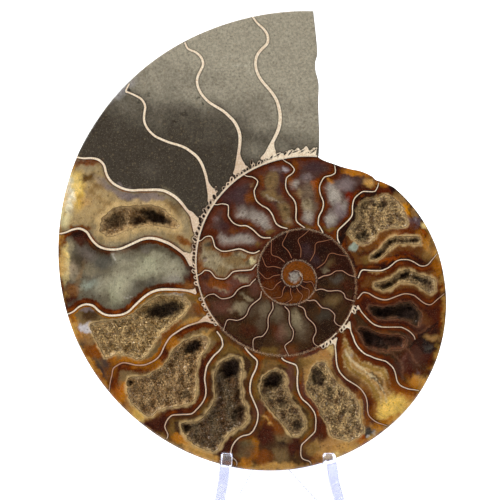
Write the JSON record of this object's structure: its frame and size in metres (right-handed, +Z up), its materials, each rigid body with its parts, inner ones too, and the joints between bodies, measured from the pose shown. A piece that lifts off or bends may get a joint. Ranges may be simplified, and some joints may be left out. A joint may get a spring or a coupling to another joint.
{
  "type": "ammonite fossil half on a clear easel",
  "caption": "Cut and polished half of an ammonite with crystal-lined chambers, leaning on a clear plastic display easel.",
  "frame": {"origin": "on the table, under the middle of the whole", "axes": "+Z up, the polished face looks towards -Y and leans back 17 degrees, +X to the viewer's right"},
  "size_m": [0.1222, 0.0678, 0.1517],
  "materials": {
    "fossil_stone": "polished on the cut face, natural outside",
    "crystal_crust": "sparkling small crystals",
    "clear_plastic": "clear moulded plastic"
  },
  "bodies": {
    "root": {"ammonite_half": "fossil_stone", "crystal_crust_01": "crystal_crust", "crystal_crust_02": "crystal_crust", "crystal_crust_03": "crystal_crust", "crystal_crust_04": "crystal_crust", "crystal_crust_05": "crystal_crust", "crystal_crust_06": "crystal_crust", "crystal_crust_07": "crystal_crust", "crystal_crust_08": "crystal_crust", "crystal_crust_09": "crystal_crust", "crystal_crust_10": "crystal_crust", "crystal_crust_11": "crystal_crust", "easel": "clear_plastic"}
  },
  "joints": []
}
